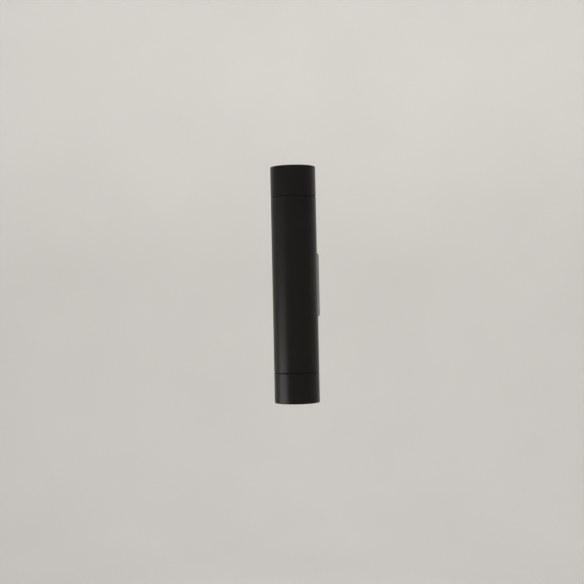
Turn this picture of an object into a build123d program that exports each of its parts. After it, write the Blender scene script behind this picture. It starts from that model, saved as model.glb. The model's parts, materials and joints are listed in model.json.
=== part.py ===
from build123d import *

import os
from math import atan, cos, degrees, radians, sin, sqrt

# Up and down wall light: a tube carried by a box on the wall. Each end of the tube has a
# screwed end ring with a cover glass, and behind it a twist-lock reflector lamp.
# Sizes are in millimetres. The wall is the plane y = 0, the light stands in front of it
# towards -Y, +Z is up, and the origin is the middle of the two wall screws.

# Overall form
light_height = 300.0
ring_height = 39.0
rim_round = 1.0
mouth_break = 0.5
seam_break = 0.2

# Reflector lamp with a two-pin twist-lock base
lamp_diameter = 50.0
lamp_length = 47.0
lamp_front_gap = 4.5
lamp_seat_gap = 0.2
lamp_twist = 40.0
bezel_height = 7.0
bezel_slope = 3.0
bezel_wall = 1.6
cup_radius = 21.5
cup_depth = 9.0
neck_length = 14.0
neck_radius = 14.5
fin_count = 16
fin_slot = 2.6
fin_core_radius = 12.8
fin_web = 4.0
base_radius = 12.5
base_collar = 3.0
plug_radius = 11.0
plug_flat = 8.0
lens_depth = 3.0
lens_recess = 0.2
lens_gap = 0.2
lens_dimple_depth = 0.4
lens_dimple_radius = 5.6
cone_wide_radius = 6.2
cone_narrow_radius = 3.0
cone_circle_radius = 13.8
cone_count = 6
board_thickness = 1.2
board_gap = 0.3
chip_size = 3.2
chip_height = 0.8
chip_gap = 0.4

# Lamp pins
pin_spacing = 10.0
pin_length = 7.0
pin_neck_radius = 1.5
pin_neck_length = 4.2
pin_head_radius = 2.4
pin_tip_break = 0.6

# End ring, its seal on the tube, and the glass stack held in it
lamp_gap = 0.7
spigot_wall = 1.35
spigot_length = 9.0
spigot_end_gap = 1.5
thread_gap = 0.1
tube_end_wall = 1.6
tube_step = 0.65
joint_seal_thickness = 1.2
joint_seal_inset = 0.6
joint_seal_gap = 0.15
lip_thickness = 2.5
lip_overlap = 1.7
glass_gap = 0.3
glass_thickness = 3.0
glass_break = 0.3
glass_seal_thickness = 0.8
glass_seal_width = 1.2
clip_thickness = 1.2
clip_width = 2.2
clip_groove_depth = 0.9
clip_gap = 0.05
clip_rim_gap = 0.1
clip_opening = 44.0
clip_lug_radius = 1.9
clip_lug_hole = 0.8

# Lampholder
holder_radius = 15.0
holder_height = 22.0
holder_break = 1.0
holder_deck = 3.6
pocket_depth = 10.0
pin_slack = 0.3
contact_thickness = 0.6
contact_length = 4.2
contact_width = 2.8
contact_rise = 2.4
spring_span = 3.2
spring_thickness = 0.5
holder_screw_spacing = 20.0
holder_screw_radius = 1.5
holder_screw_head = 2.7
holder_screw_head_height = 2.0
holder_screw_sink = 3.4
head_slack = 0.3

# Chassis strip inside the tube
chassis_sheet = 1.5
chassis_width = 22.0
chassis_bend = 1.5
chassis_gap = 0.1
flange_overhang = 3.0
flange_corner = 6.0
tapped_gap = 0.05
screw_slack = 0.2
screw_end = 2.0

# Back box
box_width = 53.0
box_height = 84.0
box_depth = 30.0
box_wall = 2.0
box_corner = 3.0
box_edge = 1.0
tube_sink = 2.5
saddle_gap = 0.1
saddle_wall = 2.8
pad_width = 26.0
pad_end_gap = 6.0

# Screws that hold the tube and the chassis on the box
tube_screw_spacing = 28.0
tube_screw_radius = 2.0
tube_screw_head = 4.0
tube_screw_head_height = 2.6

# Wire bush between box and tube
bush_bore = 4.6
bush_wall = 1.7
bush_flange = 8.5
bush_flange_thickness = 1.5
bush_gap = 0.2
bush_proud = 1.0

# Wall plate
plate_sheet = 1.5
plate_gap = 0.3
plate_bend = 1.0
ear_width = 20.0
ear_reach = 14.0
slot_margin = 8.5
slot_width = 4.5
slot_length = 8.0
ear_screw_depth = 9.0
ear_screw_radius = 1.5
ear_screw_head = 2.9
ear_screw_length = 7.0

# Cable grommet
grommet_margin = 26.0
grommet_bore = 5.0
grommet_wall = 1.8
grommet_flange = 8.8
grommet_flange_thickness = 1.8
grommet_gap = 0.1

# Terminal block
pole_pitch = 9.5
pole_count = 3
terminal_length = 16.0
terminal_depth = 13.0
terminal_margin = 15.0
terminal_round = 0.8
barrier_groove = 1.6
barrier_depth = 2.5
sleeve_radius = 2.5
sleeve_bore = 1.9
sleeve_recess = 1.0
sleeve_gap = 0.05
clamp_spacing = 8.0
clamp_radius = 1.3
clamp_head = 1.6
clamp_head_height = 2.0
clamp_recess = 1.0
fixing_radius = 1.25
fixing_head = 2.3
fixing_head_height = 1.6
fixing_sink = 2.4
plate_clear = 0.2

# Earth screw and its lug
earth_side_margin = 11.5
earth_top_margin = 18.0
earth_radius = 2.0
earth_head = 3.8
earth_head_height = 2.4
lug_radius = 4.0
lug_sheet = 0.8
lug_tongue = 3.0
barrel_radius = 1.7
barrel_length = 5.0
barrel_drop = 9.5

# Wires
wire_radius = 1.1
wire_bend = 5.0
wire_hole_gap = 0.5
ferrule_radius = 0.6
ferrule_length = 8.0
wire_pair_offset = 1.25
wire_bundle = 1.7
wire_turn_height = 16.0
wire_turn_reach = 18.0
box_turn_gap = 5.6
wire_drop_height = 1.2
earth_wire_tail = 6.5
earth_wire_slant = 5.0

# Radii from the lamp outwards
lamp_radius = lamp_diameter / 2
ring_bore_radius = lamp_radius + lamp_gap
spigot_radius = ring_bore_radius + spigot_wall
thread_bore_radius = spigot_radius + thread_gap
tube_radius = thread_bore_radius + tube_end_wall
tube_bore_radius = thread_bore_radius - tube_step
mouth_radius = ring_bore_radius - lip_overlap
glass_radius = ring_bore_radius - glass_gap
groove_radius = ring_bore_radius + clip_groove_depth
joint_seal_radius = tube_radius - joint_seal_inset
joint_seal_bore = spigot_radius + joint_seal_gap
glass_seal_bore = glass_radius - glass_seal_width
saddle_radius = tube_radius + saddle_gap

# Heights along one end, from the middle of the light outwards
rim = light_height / 2
seam = rim - ring_height
shoulder = seam + joint_seal_thickness
spigot_end = seam - spigot_length
thread_end = spigot_end - spigot_end_gap
lip_bottom = rim - lip_thickness
glass_top = lip_bottom - glass_seal_thickness
glass_bottom = glass_top - glass_thickness
clip_top = glass_bottom - clip_gap
clip_bottom = clip_top - clip_thickness
lamp_face = clip_bottom - lamp_front_gap
lamp_seat = lamp_face - lamp_length
pin_end = lamp_seat - pin_length
holder_top = lamp_seat - lamp_seat_gap
holder_bottom = holder_top - holder_height
pocket_bottom = holder_top - pocket_depth
cup_floor = lamp_face - cup_depth
neck_top = lamp_seat + neck_length
lens_back = lamp_face - lens_depth
board_top = cup_floor + board_thickness

# Distances from the wall
axis_to_wall = box_depth + tube_radius - tube_sink
pad_face = axis_to_wall - saddle_radius - saddle_wall
chassis_back = sqrt(tube_bore_radius**2 - (chassis_width / 2) ** 2) - chassis_gap
strip_back = axis_to_wall - chassis_back
terminal_front = plate_sheet + terminal_depth
pole_depth = plate_sheet + terminal_depth / 2
bush_radius = bush_bore + bush_wall
wire_hole_radius = bush_radius + bush_gap
bush_end = axis_to_wall - tube_bore_radius + bush_proud
wire_turn_depth = axis_to_wall - wire_turn_reach
box_turn_depth = pad_face - box_turn_gap

# Places on the wall plate, from the sides of the box
slot_spacing = box_width - 2 * slot_margin
grommet_height = box_height / 2 - grommet_margin
terminal_top = terminal_length + terminal_margin - box_height / 2
earth_x = box_width / 2 - earth_side_margin
earth_z = box_height / 2 - earth_top_margin
earth_place = (earth_x, earth_z)

# The two ends share one local frame each: local +Z leaves the light along its axis
upper = Plane(origin=(0, -axis_to_wall, 0), x_dir=(1, 0, 0), z_dir=(0, 0, 1))
lower = Plane(origin=(0, -axis_to_wall, 0), x_dir=(-1, 0, 0), z_dir=(0, 0, -1))
ends = {"upper": upper, "lower": lower}
tube_axis = Axis((0, -axis_to_wall, 0), (0, 0, 1))

os.makedirs("parts", exist_ok=True)


def profile_plane(end):
    # Half section of an end: sketch x is the radius, sketch y the height along the end
    return Plane(origin=end.origin, x_dir=end.x_dir, z_dir=-end.y_dir)


def end_axis(end):
    return Axis(end.origin, end.z_dir)


def write(piece, name):
    piece.part.label = name
    export_step(piece.part, f"parts/{name}.step")


# Tube with a wider bore at each end for the screwed ring
with BuildPart() as tube_body:
    with BuildSketch(profile_plane(upper)):
        with BuildLine():
            Polyline(
                (tube_bore_radius, -thread_end),
                (thread_bore_radius, -thread_end),
                (thread_bore_radius, -seam),
                (tube_radius, -seam),
                (tube_radius, seam),
                (thread_bore_radius, seam),
                (thread_bore_radius, thread_end),
                (tube_bore_radius, thread_end),
                close=True,
            )
        make_face()
    revolve(axis=tube_axis)
    outer_ends = tube_body.edges().filter_by(GeomType.CIRCLE).sort_by(SortBy.RADIUS)[-2:]
    chamfer(outer_ends, seam_break)
    with BuildSketch(Plane.XZ.offset(axis_to_wall - tube_radius)):
        with GridLocations(0, tube_screw_spacing, 1, 2):
            Circle(tube_screw_radius + screw_slack)
        Circle(wire_hole_radius)
    extrude(amount=tube_radius, mode=Mode.SUBTRACT)
write(tube_body, "tube_body")


# End ring: outer sleeve, screwed spigot, mouth lip and the groove for its circlip
def make_end_ring(end):
    groove_top = clip_top + clip_gap
    groove_bottom = clip_bottom - clip_gap
    with BuildPart() as ring:
        with BuildSketch(profile_plane(end)):
            with BuildLine():
                Polyline(
                    (ring_bore_radius, spigot_end),
                    (spigot_radius, spigot_end),
                    (spigot_radius, shoulder),
                    (tube_radius, shoulder),
                    (tube_radius, rim),
                    (mouth_radius, rim),
                    (mouth_radius, lip_bottom),
                    (ring_bore_radius, lip_bottom),
                    (ring_bore_radius, groove_top),
                    (groove_radius, groove_top),
                    (groove_radius, groove_bottom),
                    (ring_bore_radius, groove_bottom),
                    close=True,
                )
            make_face()
        revolve(axis=tube_axis)
        rim_edges = ring.edges().group_by(end_axis(end))[-1].sort_by(SortBy.LENGTH)
        fillet(rim_edges[-1], rim_round)
        lip_edge = ring.edges().group_by(end_axis(end))[-1].sort_by(SortBy.LENGTH)[0]
        chamfer(lip_edge, mouth_break)
        outer_edges = ring.edges().filter_by(GeomType.CIRCLE).sort_by(SortBy.RADIUS)
        chamfer(outer_edges.group_by(SortBy.RADIUS)[-1].sort_by(end_axis(end))[0], seam_break)
        spigot_edges = ring.edges().group_by(end_axis(end))[0].sort_by(SortBy.LENGTH)
        chamfer(spigot_edges[-1], seam_break)
    return ring


# Flat ring between two radii, such as a seal
def make_flat_ring(end, height, thickness, inner_radius, outer_radius):
    with BuildPart() as flat_ring:
        with BuildSketch(end.offset(height)):
            Circle(outer_radius)
            Circle(inner_radius, mode=Mode.SUBTRACT)
        extrude(amount=thickness)
    return flat_ring


# Circlip: an open ring with two drilled lugs beside its opening
def make_circlip(end):
    outer_radius = groove_radius - clip_rim_gap
    inner_radius = outer_radius - clip_width
    lug_angle = clip_opening / 2 + degrees(clip_lug_radius / inner_radius)
    with BuildPart() as circlip:
        with BuildSketch(end.offset(clip_bottom)):
            Circle(outer_radius)
            Circle(inner_radius, mode=Mode.SUBTRACT)
            with BuildLine():
                half_opening = radians(clip_opening / 2)
                reach = 2 * outer_radius
                Polyline(
                    (0, 0),
                    (reach * cos(half_opening), -reach * sin(half_opening)),
                    (reach * cos(half_opening), reach * sin(half_opening)),
                    close=True,
                )
            make_face(mode=Mode.SUBTRACT)
            with Locations(
                (inner_radius * cos(radians(lug_angle)), inner_radius * sin(radians(lug_angle))),
                (inner_radius * cos(radians(lug_angle)), -inner_radius * sin(radians(lug_angle))),
            ):
                Circle(clip_lug_radius)
                Circle(clip_lug_hole, mode=Mode.SUBTRACT)
        extrude(amount=clip_thickness)
    return circlip


def make_cover_glass(end):
    with BuildPart() as glass:
        with BuildSketch(end.offset(glass_bottom)):
            Circle(glass_radius)
        extrude(amount=glass_thickness)
        chamfer(glass.edges().filter_by(GeomType.CIRCLE), glass_break)
    return glass


# Lamp body: bezel with a front cup, and a tapered neck cut into fins
def make_lamp_heatsink(end):
    bezel_bottom = lamp_face - bezel_height
    slope_bottom = bezel_bottom - bezel_slope
    with BuildPart() as heatsink:
        with BuildSketch(profile_plane(end)):
            with BuildLine():
                Polyline(
                    (0, neck_top),
                    (neck_radius, neck_top),
                    (lamp_radius - bezel_wall, slope_bottom),
                    (lamp_radius, bezel_bottom),
                    (lamp_radius, lamp_face),
                    (lamp_radius - bezel_wall, lamp_face),
                    (lamp_radius - bezel_wall, lens_back),
                    (cup_radius, lens_back),
                    (cup_radius, cup_floor),
                    (0, cup_floor),
                    close=True,
                )
            make_face()
        revolve(axis=tube_axis)
        fin_length = cup_floor - fin_web - neck_top
        slot_reach = lamp_radius - fin_core_radius
        with BuildSketch(end.offset(neck_top)):
            with PolarLocations(fin_core_radius + slot_reach / 2, fin_count):
                Rectangle(slot_reach, fin_slot)
        extrude(amount=fin_length, mode=Mode.SUBTRACT)
    return heatsink


def make_lamp_base(end):
    collar_end = neck_top - base_collar
    plug_start = collar_end - (base_radius - plug_radius)
    with BuildPart() as base:
        with BuildSketch(profile_plane(end)):
            with BuildLine():
                Polyline(
                    (0, lamp_seat),
                    (plug_radius, lamp_seat),
                    (plug_radius, plug_start),
                    (base_radius, collar_end),
                    (base_radius, neck_top),
                    (0, neck_top),
                    close=True,
                )
            make_face()
        revolve(axis=tube_axis)
        with BuildSketch(end.offset(lamp_seat)):
            Circle(plug_radius)
            Rectangle(2 * plug_radius, 2 * plug_flat, mode=Mode.SUBTRACT)
        extrude(amount=plug_start - lamp_seat, mode=Mode.SUBTRACT)
    return base


def make_lamp_pins(end):
    neck_end = lamp_seat - pin_neck_length
    with BuildPart() as pins:
        with BuildSketch(end.offset(neck_end)):
            with GridLocations(pin_spacing, 0, 2, 1):
                Circle(pin_neck_radius)
        extrude(amount=pin_neck_length)
        with BuildSketch(end.offset(pin_end)):
            with GridLocations(pin_spacing, 0, 2, 1):
                Circle(pin_head_radius)
        extrude(amount=neck_end - pin_end)
        chamfer(pins.edges().group_by(end_axis(end))[0], pin_tip_break)
    return pins


# Board with one light chip under each lens cone
def make_lamp_board(end):
    with BuildPart() as board:
        with BuildSketch(end.offset(cup_floor)):
            Circle(cup_radius - board_gap)
        extrude(amount=board_thickness)
        with BuildSketch(end.offset(board_top)):
            Rectangle(chip_size, chip_size)
            with PolarLocations(cone_circle_radius, cone_count):
                Rectangle(chip_size, chip_size)
        extrude(amount=chip_height)
    return board


# Lens plate: a dished front over a cluster of cones that face the chips
def make_lamp_lens(end):
    cone_end = board_top + chip_height + chip_gap
    cone_length = lens_back - cone_end
    cone_slope = degrees(atan((cone_wide_radius - cone_narrow_radius) / cone_length))
    plate_top = lamp_face - lens_recess
    with BuildPart() as lens:
        with BuildSketch(end.offset(lens_back)):
            Circle(lamp_radius - bezel_wall - lens_gap)
        extrude(amount=plate_top - lens_back)
        with BuildSketch(end.offset(lens_back)):
            Circle(cone_wide_radius)
            with PolarLocations(cone_circle_radius, cone_count):
                Circle(cone_wide_radius)
        extrude(amount=-cone_length, taper=cone_slope)
        with BuildSketch(end.offset(plate_top)):
            Circle(lens_dimple_radius)
            with PolarLocations(cone_circle_radius, cone_count):
                Circle(lens_dimple_radius)
        extrude(amount=-lens_dimple_depth, mode=Mode.SUBTRACT)
    return lens


# Lampholder: each pin drops through a round hole, then turns along its slot until it locks
def make_lampholder(end):
    deck_bottom = holder_top - holder_deck
    tracks = [
        Edge.make_circle(pin_spacing / 2, start_angle=locked, end_angle=locked + lamp_twist)
        for locked in (0, 180)
    ]
    with BuildPart() as holder:
        with BuildSketch(end.offset(holder_bottom)):
            Circle(holder_radius)
        extrude(amount=holder_height)
        chamfer(holder.edges().group_by(end_axis(end))[-1], holder_break)
        with BuildSketch(end.offset(pocket_bottom)):
            for track in tracks:
                SlotArc(track, 2 * (pin_head_radius + pin_slack))
        extrude(amount=deck_bottom - pocket_bottom, mode=Mode.SUBTRACT)
        with BuildSketch(end.offset(deck_bottom)):
            for track in tracks:
                SlotArc(track, 2 * (pin_neck_radius + pin_slack))
            with PolarLocations(pin_spacing / 2, 2, start_angle=lamp_twist):
                Circle(pin_head_radius + pin_slack)
        extrude(amount=holder_deck, mode=Mode.SUBTRACT)
        with BuildSketch(end.offset(holder_bottom)):
            with GridLocations(pin_spacing, 0, 2, 1):
                Circle(wire_radius + wire_hole_gap)
        extrude(amount=pocket_bottom - holder_bottom, mode=Mode.SUBTRACT)
        with BuildSketch(end.offset(holder_bottom)):
            with GridLocations(0, holder_screw_spacing, 1, 2):
                Circle(holder_screw_radius + screw_slack)
        extrude(amount=holder_height, mode=Mode.SUBTRACT)
        with BuildSketch(end.offset(holder_top)):
            with GridLocations(0, holder_screw_spacing, 1, 2):
                Circle(holder_screw_head + head_slack)
        extrude(amount=-holder_screw_sink, mode=Mode.SUBTRACT)
    return holder


# Two contact leaves at the bottom of the pin pockets, each with a bowed spring
def make_holder_contacts(end):
    leaf_top = pocket_bottom + contact_thickness
    spring_foot = leaf_top - spring_thickness / 2
    spring_crown = pocket_bottom + contact_rise
    with BuildPart() as contacts:
        with BuildSketch(profile_plane(end)):
            for pin in (-pin_spacing / 2, pin_spacing / 2):
                with Locations((pin, pocket_bottom + contact_thickness / 2)):
                    Rectangle(contact_length, contact_thickness)
                with BuildLine() as spring:
                    ThreePointArc(
                        (pin - spring_span / 2, spring_foot),
                        (pin, spring_crown),
                        (pin + spring_span / 2, spring_foot),
                    )
                trace(spring.line, line_width=spring_thickness)
        extrude(amount=contact_width / 2, both=True)
    return contacts


for end_name, end_plane in ends.items():
    end_pieces = {
        "end_ring": make_end_ring(end_plane),
        "joint_seal": make_flat_ring(
            end_plane, seam, joint_seal_thickness, joint_seal_bore, joint_seal_radius
        ),
        "circlip": make_circlip(end_plane),
        "cover_glass": make_cover_glass(end_plane),
        "glass_seal": make_flat_ring(
            end_plane, glass_top, glass_seal_thickness, glass_seal_bore, glass_radius
        ),
        "lamp_heatsink": make_lamp_heatsink(end_plane),
        "lamp_base": make_lamp_base(end_plane),
        "lamp_pins": make_lamp_pins(end_plane),
        "lamp_board": make_lamp_board(end_plane),
        "lamp_lens": make_lamp_lens(end_plane),
        "lampholder": make_lampholder(end_plane),
        "holder_contacts": make_holder_contacts(end_plane),
    }
    for piece_name, piece in end_pieces.items():
        write(piece, f"{end_name}_{piece_name}")

# Chassis: one bent strip that lies along the back of the bore and carries both lampholders
strip_middle = -strip_back - chassis_sheet / 2
flange_middle = holder_bottom - chassis_sheet / 2
flange_tip = -axis_to_wall - holder_screw_spacing / 2 - flange_overhang
with BuildPart() as chassis:
    with BuildSketch(Plane.YZ):
        with BuildLine():
            FilletPolyline(
                (flange_tip, flange_middle),
                (strip_middle, flange_middle),
                (strip_middle, -flange_middle),
                (flange_tip, -flange_middle),
                radius=chassis_bend + chassis_sheet / 2,
            )
        trace(line_width=chassis_sheet)
    extrude(amount=chassis_width / 2, both=True)
    tip_edges = chassis.edges().filter_by(Axis.Z).group_by(Axis.Y)[0]
    fillet(tip_edges, flange_corner)
    with BuildSketch(Plane.XZ.offset(strip_back)):
        with GridLocations(0, tube_screw_spacing, 1, 2):
            Circle(tube_screw_radius + tapped_gap)
        Circle(wire_hole_radius)
    extrude(amount=chassis_sheet, mode=Mode.SUBTRACT)
    with BuildSketch(upper.offset(-holder_bottom)):
        with GridLocations(0, holder_screw_spacing, 1, 2):
            Circle(holder_screw_radius + tapped_gap)
        with GridLocations(pin_spacing, 0, 2, 1):
            Circle(wire_radius + wire_hole_gap)
    extrude(amount=2 * holder_bottom, mode=Mode.SUBTRACT)
write(chassis, "chassis")

# Four screws that hold the lampholders on the chassis
with BuildPart() as holder_screws:
    for end_plane in ends.values():
        screw_tip = holder_bottom - chassis_sheet - screw_end
        head_seat = holder_top - holder_screw_sink
        with BuildSketch(end_plane.offset(screw_tip)):
            with GridLocations(0, holder_screw_spacing, 1, 2):
                Circle(holder_screw_radius)
        extrude(amount=head_seat - screw_tip)
        with BuildSketch(end_plane.offset(head_seat)):
            with GridLocations(0, holder_screw_spacing, 1, 2):
                Circle(holder_screw_head)
        extrude(amount=holder_screw_head_height)
write(holder_screws, "holder_screws")

# Back box: open to the wall, with a hollow in front that the tube lies in
inner_width = box_width - 2 * box_wall
inner_height = box_height - 2 * box_wall
with BuildPart() as back_box:
    with BuildSketch(Plane.XZ):
        RectangleRounded(box_width, box_height, box_corner)
    extrude(amount=box_depth)
    fillet(back_box.faces().sort_by(Axis.Y)[0].edges(), box_edge)
    with BuildSketch(Plane.XZ):
        RectangleRounded(inner_width, inner_height, box_corner - box_wall)
    extrude(amount=box_depth - box_wall, mode=Mode.SUBTRACT)
    with BuildSketch(Plane.XZ.offset(pad_face)):
        Rectangle(pad_width, inner_height - 2 * pad_end_gap)
    extrude(amount=box_depth - box_wall - pad_face)
    with BuildSketch(upper.offset(-box_height / 2)):
        Circle(saddle_radius)
    extrude(amount=box_height, mode=Mode.SUBTRACT)
    with BuildSketch(Plane.XZ.offset(pad_face)):
        with GridLocations(0, tube_screw_spacing, 1, 2):
            Circle(tube_screw_radius + screw_slack)
        Circle(wire_hole_radius)
    extrude(amount=box_depth - pad_face, mode=Mode.SUBTRACT)
    with Locations(
        Location((0, -ear_screw_depth, box_height / 2)),
        Location((0, -ear_screw_depth, -box_height / 2), (180, 0, 0)),
    ):
        CounterSinkHole(
            radius=ear_screw_radius + screw_slack,
            counter_sink_radius=ear_screw_head,
            depth=2 * box_wall,
            counter_sink_angle=90,
        )
write(back_box, "back_box")

# Two screws from inside the box, through tube and chassis
screw_reach = strip_back + chassis_sheet + screw_end - pad_face
with BuildPart() as tube_screws:
    with BuildSketch(Plane.XZ.offset(pad_face)):
        with GridLocations(0, tube_screw_spacing, 1, 2):
            Circle(tube_screw_radius)
    extrude(amount=screw_reach)
    with BuildSketch(Plane.XZ.offset(pad_face)):
        with GridLocations(0, tube_screw_spacing, 1, 2):
            Circle(tube_screw_head)
    extrude(amount=-tube_screw_head_height)
write(tube_screws, "tube_screws")

# Rubber bush that guards the wires between box and tube
with BuildPart() as wire_bush:
    with BuildSketch(Plane.XZ.offset(pad_face)):
        Circle(bush_radius)
    extrude(amount=bush_end - pad_face)
    with BuildSketch(Plane.XZ.offset(pad_face)):
        Circle(bush_flange)
    extrude(amount=-bush_flange_thickness)
    with BuildSketch(Plane.XZ.offset(pad_face - bush_flange_thickness)):
        Circle(bush_bore)
    extrude(amount=bush_end - pad_face + bush_flange_thickness, mode=Mode.SUBTRACT)
write(wire_bush, "wire_bush")

# Wall plate: slotted web on the wall and two ears bent forward for the box screws
plate_width = inner_width - 2 * plate_gap
plate_height = inner_height - 2 * plate_gap
web_middle = -plate_sheet / 2
ear_middle = plate_height / 2 - plate_sheet / 2
terminal_middle = terminal_top - terminal_length / 2
with BuildPart() as wall_plate:
    with BuildSketch(Plane.YZ):
        with BuildLine():
            FilletPolyline(
                (-ear_reach, ear_middle),
                (web_middle, ear_middle),
                (web_middle, -ear_middle),
                (-ear_reach, -ear_middle),
                radius=plate_bend + plate_sheet / 2,
            )
        trace(line_width=plate_sheet)
    extrude(amount=plate_width / 2, both=True)
    web_depth = plate_sheet + plate_bend
    with BuildSketch(Plane.XY.offset(-plate_height / 2)):
        with Locations((0, -web_depth / 2)):
            Rectangle(plate_width, web_depth)
        with Locations((0, -ear_reach / 2)):
            Rectangle(ear_width, ear_reach)
    extrude(amount=plate_height, mode=Mode.INTERSECT)
    with BuildSketch(Plane.XZ):
        with GridLocations(slot_spacing, 0, 2, 1):
            SlotOverall(slot_length, slot_width)
        with Locations((0, grommet_height)):
            Circle(grommet_bore + grommet_wall + grommet_gap)
        with Locations(earth_place):
            Circle(earth_radius + tapped_gap)
        with Locations((-pole_pitch / 2, terminal_middle), (pole_pitch / 2, terminal_middle)):
            Circle(fixing_radius + tapped_gap)
    extrude(amount=plate_sheet, mode=Mode.SUBTRACT)
    with BuildSketch(Plane.XY.offset(-plate_height / 2)):
        with Locations((0, -ear_screw_depth)):
            Circle(ear_screw_radius + tapped_gap)
    extrude(amount=plate_height, mode=Mode.SUBTRACT)
write(wall_plate, "wall_plate")

# Countersunk screws through the top and bottom of the box into the ears
head_depth = ear_screw_head - ear_screw_radius
with BuildPart() as box_screws:
    with BuildSketch(Plane.YZ):
        for side in (1, -1):
            with BuildLine():
                Polyline(
                    (-ear_screw_depth, side * box_height / 2),
                    (-ear_screw_depth + ear_screw_head, side * box_height / 2),
                    (-ear_screw_depth + ear_screw_radius, side * (box_height / 2 - head_depth)),
                    (-ear_screw_depth + ear_screw_radius, side * (box_height / 2 - ear_screw_length)),
                    (-ear_screw_depth, side * (box_height / 2 - ear_screw_length)),
                    close=True,
                )
            make_face()
    revolve(axis=Axis((0, -ear_screw_depth, 0), (0, 0, 1)))
write(box_screws, "box_screws")

# Cable grommet, flush with the wall side of the plate
with BuildPart() as cable_grommet:
    with BuildSketch(Plane.XZ):
        with Locations((0, grommet_height)):
            Circle(grommet_bore + grommet_wall)
    extrude(amount=plate_sheet)
    with BuildSketch(Plane.XZ.offset(plate_sheet)):
        with Locations((0, grommet_height)):
            Circle(grommet_flange)
    extrude(amount=grommet_flange_thickness)
    with BuildSketch(Plane.XZ):
        with Locations((0, grommet_height)):
            Circle(grommet_bore)
    extrude(amount=plate_sheet + grommet_flange_thickness, mode=Mode.SUBTRACT)
write(cable_grommet, "cable_grommet")

# Terminal block with three poles side by side, screwed to the plate between the poles
clamp_heights = (terminal_middle - clamp_spacing / 2, terminal_middle + clamp_spacing / 2)
pole_places = [(place - (pole_count - 1) / 2) * pole_pitch for place in range(pole_count)]
gap_places = [(left + right) / 2 for left, right in zip(pole_places, pole_places[1:])]
with BuildPart() as terminal_block:
    with BuildSketch(Plane.XZ.offset(plate_sheet)):
        with Locations((0, terminal_middle)):
            Rectangle(pole_count * pole_pitch, terminal_length)
    extrude(amount=terminal_depth)
    fillet(terminal_block.edges().filter_by(Axis.Y), terminal_round)
    with BuildSketch(Plane.XZ.offset(terminal_front)):
        with Locations(*[(place, terminal_middle) for place in gap_places]):
            Rectangle(barrier_groove, terminal_length)
    extrude(amount=-barrier_depth, mode=Mode.SUBTRACT)
    with BuildSketch(Plane.XY.offset(terminal_top)):
        with Locations(*[(place, -pole_depth) for place in pole_places]):
            Circle(sleeve_radius + sleeve_gap)
    extrude(amount=-terminal_length, mode=Mode.SUBTRACT)
    with BuildSketch(Plane.XZ.offset(terminal_front)):
        with Locations(*[(place, height) for place in pole_places for height in clamp_heights]):
            Circle(clamp_head + screw_slack)
    extrude(amount=-terminal_depth / 2, mode=Mode.SUBTRACT)
    with BuildSketch(Plane.XZ.offset(terminal_front)):
        with Locations(*[(place, terminal_middle) for place in gap_places]):
            Circle(fixing_radius + screw_slack)
    extrude(amount=-terminal_depth, mode=Mode.SUBTRACT)
    with BuildSketch(Plane.XZ.offset(terminal_front)):
        with Locations(*[(place, terminal_middle) for place in gap_places]):
            Circle(fixing_head + screw_slack)
    extrude(amount=-fixing_sink, mode=Mode.SUBTRACT)
write(terminal_block, "terminal_block")

# Brass sleeves that take the wire ends, tapped for two clamp screws each
with BuildPart() as terminal_sleeves:
    with BuildSketch(Plane.XY.offset(terminal_top - sleeve_recess)):
        with Locations(*[(place, -pole_depth) for place in pole_places]):
            Circle(sleeve_radius)
            Circle(sleeve_bore, mode=Mode.SUBTRACT)
    extrude(amount=2 * sleeve_recess - terminal_length)
    with BuildSketch(Plane.XZ.offset(pole_depth)):
        with Locations(*[(place, height) for place in pole_places for height in clamp_heights]):
            Circle(clamp_radius + tapped_gap)
    extrude(amount=sleeve_radius, mode=Mode.SUBTRACT)
write(terminal_sleeves, "terminal_sleeves")

clamp_tip = pole_depth + ferrule_radius + plate_clear
clamp_top = terminal_front - clamp_recess
with BuildPart() as terminal_screws:
    with BuildSketch(Plane.XZ.offset(clamp_tip)):
        with Locations(*[(place, height) for place in pole_places for height in clamp_heights]):
            Circle(clamp_radius)
    extrude(amount=clamp_top - clamp_tip)
    with BuildSketch(Plane.XZ.offset(clamp_top)):
        with Locations(*[(place, height) for place in pole_places for height in clamp_heights]):
            Circle(clamp_head)
    extrude(amount=-clamp_head_height)
write(terminal_screws, "terminal_screws")

fixing_seat = terminal_front - fixing_sink
with BuildPart() as terminal_fixings:
    with BuildSketch(Plane.XZ.offset(plate_clear)):
        with Locations(*[(place, terminal_middle) for place in gap_places]):
            Circle(fixing_radius)
    extrude(amount=fixing_seat - plate_clear)
    with BuildSketch(Plane.XZ.offset(fixing_seat)):
        with Locations(*[(place, terminal_middle) for place in gap_places]):
            Circle(fixing_head)
    extrude(amount=fixing_head_height)
write(terminal_fixings, "terminal_fixings")

# Earth lug: a ring under the screw head, a tongue and a barrel for the wire
lug_face = plate_sheet + lug_sheet
barrel_depth = plate_sheet + barrel_radius
barrel_top = earth_z - barrel_drop + barrel_length
with BuildPart() as earth_lug:
    with BuildSketch(Plane.XZ.offset(plate_sheet)):
        with Locations(earth_place):
            Circle(lug_radius)
        with Locations((earth_x, (earth_z + barrel_top) / 2)):
            Rectangle(lug_tongue, earth_z - barrel_top)
        with Locations(earth_place):
            Circle(earth_radius + screw_slack, mode=Mode.SUBTRACT)
    extrude(amount=lug_sheet)
    with BuildSketch(Plane.XY.offset(barrel_top)):
        with Locations((earth_x, -barrel_depth)):
            Circle(barrel_radius)
    extrude(amount=-barrel_length)
write(earth_lug, "earth_lug")

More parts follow.
